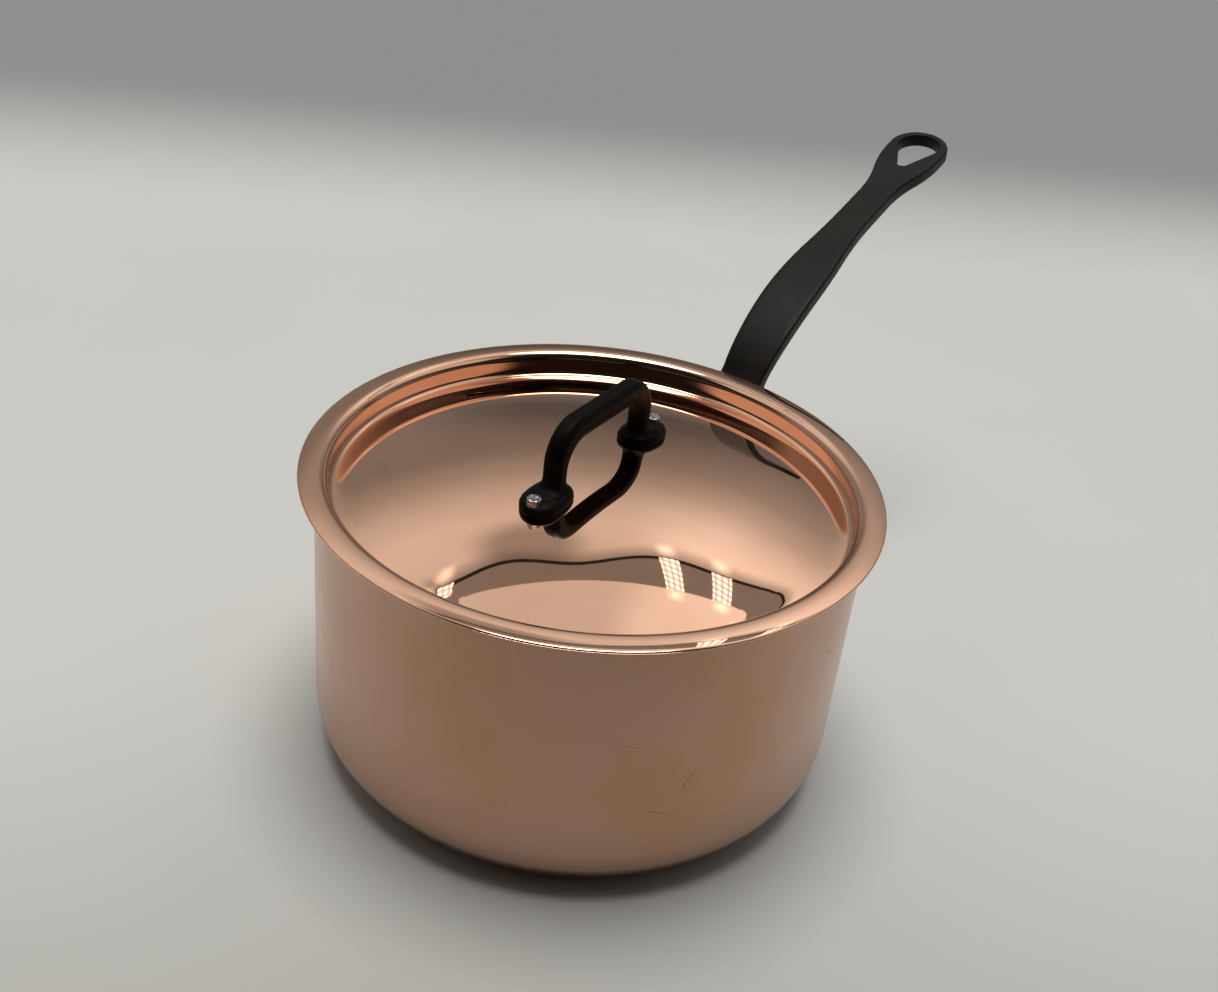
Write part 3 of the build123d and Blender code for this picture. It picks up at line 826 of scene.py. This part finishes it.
points, faces = turned(profile, 48)
for number, x in enumerate((-lidRivet["reach"], lidRivet["reach"]), 1):
    # small dents in the hammered end
    across, along = (points[:, k] * scale for k, scale in enumerate(lidRivet["dentScale"]))
    dents = (points[:, 2] > top - lidRivet["dentBelow"]) * (1 + np.sin(across + number) * np.cos(along))
    placed = points + np.array([x, 0, 0]) - np.outer(lidRivet["dent"] * dents, (0, 0, 1))
    makePiece(f"lidRivet{number}", placed, faces, "lid", [f"lid_rivet_{number}"], "rivetSteel")
print("rivets made")


# ---- floor: pale paper, with painted shadow deepening it towards the viewer and painted shade greying it where it would rise into a backdrop; in metres
floor = {
    "reach": 9.0, "below": 0.0002, "pale": (0.61, 0.60, 0.56, 1), "cool": (0.585, 0.585, 0.555, 1), "cloudScale": 3.0,
    # near and dark: painted shadow on the floor towards the viewer; grey: painted shade where a backdrop would rise
    "near": (0.345, 0.326, 0.282, 1), "nearFrom": 0.02, "nearTo": -0.30,
    "dark": (0.09, 0.088, 0.08, 1), "darkFrom": -0.34, "darkTo": -0.62,
    "grey": (0.262, 0.266, 0.26, 1), "greyFrom": 0.48, "greyTo": 0.78, "slant": 0.08, "rough": 0.6, "shine": 0.25,
}


def floorFinish():
    material, tree, place = newMaterial("floor")
    cloud = noiseNode(tree, place, floor["cloudScale"], 3, 0.5)
    colour = mixColours(tree, rangeNode(tree, cloud, 0.35, 0.65, 0, 1), floor["pale"], floor["cool"])
    away = dotNode(tree, place, level - floor["slant"] * side)
    # painted shadow and painted shade laid over the paper by distance along the view's heading
    for paintedShade in ("near", "dark", "grey"):
        start, end = floor[paintedShade + "From"], floor[paintedShade + "To"]
        share = rangeNode(tree, away, start, end, 0, 1) if end > start else rangeNode(tree, away, end, start, 1, 0)
        colour = mixColours(tree, share, colour, floor[paintedShade])
    finishSurface(tree, colour, floor["rough"], shine=floor["shine"])
    return material


corners = [(a * floor["reach"], b * floor["reach"], -floor["below"]) for a, b in ((-1, -1), (1, -1), (1, 1), (-1, 1))]
addMesh("floor", corners, [(0, 1, 2, 3)], floorFinish())


# ---- light: white sheets on the far side, a dim near side, a soft box overhead and three lamps between two sheets
studio = {
    # brightness at heights in degrees on the far and on the near side; "ahead" is how far over each light fades in
    "ahead": (-0.5, 0.5),
    "far": [
        (0, 0.32), (7, 0.17), (11, 0.10), (15, 0.115), (27, 0.235), (33, 0.38), (39, 0.62), (44, 0.75), (60, 0.68),
        (90, 0.7),
    ],
    "near": [(0, 0.15), (6, 0.05), (18, 0.012), (64, 0.012), (76, 0.4), (90, 0.8)],
    "seen": (0.62, 0.63, 0.62, 1),
    "right": {"from": -3.0, "to": -19.0, "ahead": (0.1, 0.5), "gain": 0.46},
    "fill": {"from": 6.0, "to": 22.0, "high": 20.0, "fade": 12.0, "ahead": (-0.2, 0.1), "strength": 0.24},
    "patch": {"place": (11.0, 50.0), "size": (13.0, 7.5), "inner": 0.35, "strength": 0.36},
    "box": {"rise": 87.0, "spread": 15.0, "edge": 3.0, "strength": 8.5},
    "wings": {
        "from": 0.465, "to": 0.62, "low": (28.0, 34.0), "high": (78.0, 74.0), "ahead": (-0.45, -0.3), "strength": 0.62,
    },
    # each edge of the gap: a top height, less a bend times the square of the azimuth off its middle
    "gap": {
        "low": (53.3, 0.0042, 18.0), "high": (57.3, 0.0031, 16.0), "reach": 50.0, "fade": 16.0, "edge": 0.15,
        "ahead": (0.0, 0.1), "strength": 0.24,
    },
    "wave": {"size": 0.9, "middle": 2.0, "rate": 12.9},
    "hem": {"middle": 0.2, "from": 0.42, "to": 0.25, "strength": 0.02},
    "shade": {"from": -3.2, "to": 0.2, "share": 0.6, "strength": 0.12},
    "lamps": {
        "azimuths": (27.0, -15.4, -25.6), "lean": 0.8, "leanFrom": 51.0, "half": 1.9, "edge": 0.1,
        "cells": (2.5, 3.4), "least": 0.6, "strength": 2.6, "green": 0.97,
    },
    "glow": {"strength": 0.9, "spread": 2.6, "low": (1.6, 1.8), "high": (0.9, 1.5), "blue": 0.85},
}


def studioWorld():
    # strength by direction: its azimuth off the viewer's heading, positive to the left, and its height, in degrees
    world = bpy.data.worlds.new("studio")
    bpy.context.scene.world = world
    world.use_nodes = True
    tree = world.node_tree
    tree.nodes.clear()

    def calc(operation, a, b=0.0, c=0.0):
        return mathNode(tree, operation, a, b, c)

    def product(first, *others):
        for other in others:
            first = calc("MULTIPLY", first, other)
        return first

    def step(value, low, high):
        return rangeNode(tree, value, low, high, 0, 1)

    def distance(value, middle):
        return calc("ABSOLUTE", calc("SUBTRACT", value, middle))

    def tinted(strength, green=1.0, blue=1.0):
        channels = {0: strength, 1: product(strength, green), 2: product(strength, blue)}
        return addNode(tree, "CombineColor", channels).outputs[0]

    def ladder(steps):
        node = addNode(tree, "ValToRGB", {"Fac": calc("DIVIDE", rise, 90.0)})
        rungs = node.color_ramp.elements
        rungs.remove(rungs[1])
        rungs[0].position, rungs[0].color = steps[0][0] / 90, grey(steps[0][1])
        for place, strength in steps[1:]:
            rungs.new(place / 90).color = grey(strength)
        return node.outputs["Color"]

    def laid(under, share, part):
        return mixColours(tree, share, under, grey(part["strength"]))

    def bow(top, bend, middle):
        off = calc("SUBTRACT", azimuth, middle)
        return calc("MULTIPLY_ADD", calc("MULTIPLY", off, off), -bend, top)

    toward = addNode(tree, "TexCoord").outputs["Generated"]
    ahead, left = dotNode(tree, toward, level), dotNode(tree, toward, -side)
    rise = calc("DEGREES", calc("ARCSINE", addNode(tree, "SeparateXYZ", {0: toward}).outputs["Z"]))
    azimuth = calc("DEGREES", calc("ARCTAN2", left, ahead))

    # the two ladders, brighter on the far side towards the right, with a fill low on the left and a dim patch
    colour = mixColours(tree, step(ahead, *studio["ahead"]), ladder(studio["near"]), ladder(studio["far"]))
    right, fill, patch = studio["right"], studio["fill"], studio["patch"]
    rightward = product(step(azimuth, right["from"], right["to"]), step(ahead, *right["ahead"]))
    colour = mixColours(tree, 1.0, colour, tinted(calc("MULTIPLY_ADD", rightward, right["gain"], 1.0)), "MULTIPLY")
    below = step(rise, fill["high"] + fill["fade"], fill["high"])
    filled = product(step(azimuth, fill["from"], fill["to"]), below, step(ahead, *fill["ahead"]))
    colour = laid(colour, filled, fill)
    offs = [calc("DIVIDE", calc("SUBTRACT", value, middle), size)
            for value, middle, size in zip((azimuth, rise), patch["place"], patch["size"])]
    apart = calc("SQRT", calc("ADD", *(calc("MULTIPLY", off, off) for off in offs)))
    colour = laid(colour, step(apart, 1.0, patch["inner"]), patch)

    # the gap, with a low wave along its lower edge, where a dark hem shades the sheet below
    gap, wave, hem, shade = studio["gap"], studio["wave"], studio["hem"], studio["shade"]
    turn = calc("MULTIPLY", calc("SUBTRACT", azimuth, wave["middle"]), math.radians(wave["rate"]))
    ripple = calc("MULTIPLY", calc("COSINE", turn), wave["size"])
    overLow = calc("SUBTRACT", rise, calc("ADD", bow(*gap["low"]), ripple))
    underHigh = calc("SUBTRACT", bow(*gap["high"]), rise)
    within = step(calc("ABSOLUTE", azimuth), gap["reach"], gap["reach"] - gap["fade"])
    within = product(within, step(ahead, *gap["ahead"]))
    inGap = product(step(overLow, 0.0, gap["edge"]), step(underHigh, 0.0, gap["edge"]), within)
    shaded = product(step(overLow, shade["from"], 0.0), step(overLow, shade["to"], 0.0), within, shade["share"])
    onHem = product(step(distance(overLow, hem["middle"]), hem["from"], hem["to"]), within)
    for share, part in ((shaded, shade), (inGap, gap), (onHem, hem)):
        colour = laid(colour, share, part)

    # leaning lamps in the gap, their louvres rows of small bright cells; each glows through both sheets
    lamp, glow = studio["lamps"], studio["glow"]
    for place in lamp["azimuths"]:
        lean = -lamp["lean"] if place < 0 else lamp["lean"]
        off = distance(azimuth, calc("MULTIPLY_ADD", calc("SUBTRACT", rise, lamp["leanFrom"]), lean, place))
        strip = product(step(off, lamp["half"] + lamp["edge"], lamp["half"]), inGap)
        waves = (calc("SINE", calc("MULTIPLY", value, rate)) for value, rate in zip((off, rise), lamp["cells"]))
        power = calc("MULTIPLY_ADD", calc("ABSOLUTE", product(*waves)), lamp["strength"], lamp["least"])
        colour = mixColours(tree, strip, colour, tinted(power, green=lamp["green"]))
        glows = [step(distance(value, -glow[key][0]), glow[key][1], 0.0)
                 for value, key in ((overLow, "low"), (underHigh, "high"))]
        around = product(calc("ADD", *glows), step(off, glow["spread"], 0.0), within, glow["strength"])
        colour = mixColours(tree, 1.0, colour, tinted(around, blue=glow["blue"]), "ADD")

    # tall sheets on both sides, and the soft box
    wings, box = studio["wings"], studio["box"]
    beside = product(step(calc("ABSOLUTE", left), wings["from"], wings["to"]), step(ahead, *wings["ahead"]))
    beside = product(beside, step(rise, *wings["low"]), step(rise, *wings["high"]))
    colour = laid(colour, beside, wings)
    tilt = math.radians(box["rise"])
    aim = level * math.cos(tilt) + Vector((0, 0, 1)) * math.sin(tilt)
    apart = calc("DEGREES", calc("ARCCOSINE", dotNode(tree, toward, aim)))
    colour = laid(colour, step(apart, box["spread"] + box["edge"], box["spread"]), box)

    seen = addNode(tree, "LightPath").outputs["Is Camera Ray"]
    colour = mixColours(tree, seen, colour, studio["seen"])
    background = addNode(tree, "Background", {"Color": colour, "Strength": 1.0})
    output = tree.nodes.new("ShaderNodeOutputWorld")
    tree.links.new(background.outputs[0], output.inputs["Surface"])


studioWorld()
bpy.context.scene.view_settings.view_transform = "Standard"
print("floor and studio made")
